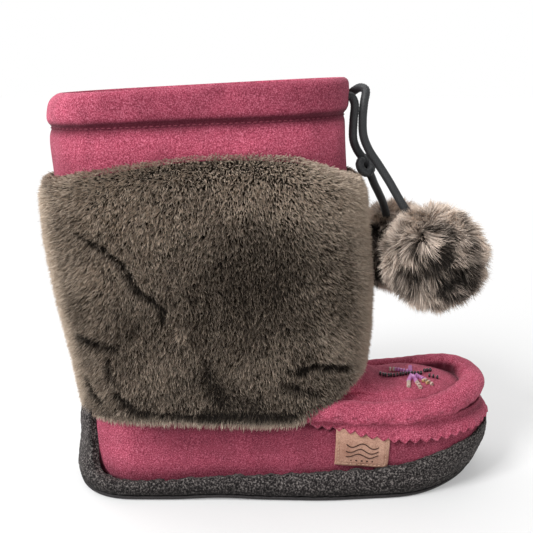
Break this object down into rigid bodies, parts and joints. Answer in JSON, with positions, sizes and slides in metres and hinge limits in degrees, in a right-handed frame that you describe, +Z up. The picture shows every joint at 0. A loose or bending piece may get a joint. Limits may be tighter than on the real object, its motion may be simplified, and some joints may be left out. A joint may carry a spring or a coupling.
{
  "type": "mukluk boot",
  "caption": "Ankle-high suede mukluk boot with a rolled moccasin apron, felt rand, thin rubber sole, deep fur cuff and a tied drawcord with fur pompoms.",
  "frame": {"origin": "centre of the boot's box, without the cord and pompoms, on the floor", "axes": "+X to the toe, +Y to the inner side of the foot, +Z up"},
  "size_m": [0.2732, 0.1215, 0.241],
  "materials": {
    "rubber": "matt, fine tread",
    "fleece": "short pile",
    "felt": "heathered wool felt",
    "suede": "napped suede",
    "tan_leather": "smooth matt leather",
    "fur": "deep pile faux fur",
    "cord": "braided",
    "pompom_fur": "deep pile faux fur"
  },
  "bodies": {
    "root": {"outsole": "rubber", "insole": "fleece", "felt_rand": "felt", "upper": "suede", "apron_roll": "suede", "side_tag": "tan_leather", "fur_cuff": "fur", "drawcord_far": "cord", "drawcord_near": "cord", "drawcord_near_end": "cord", "cord_knot": "cord", "pompom_near": "pompom_fur", "pompom_far": "pompom_fur"}
  },
  "joints": []
}
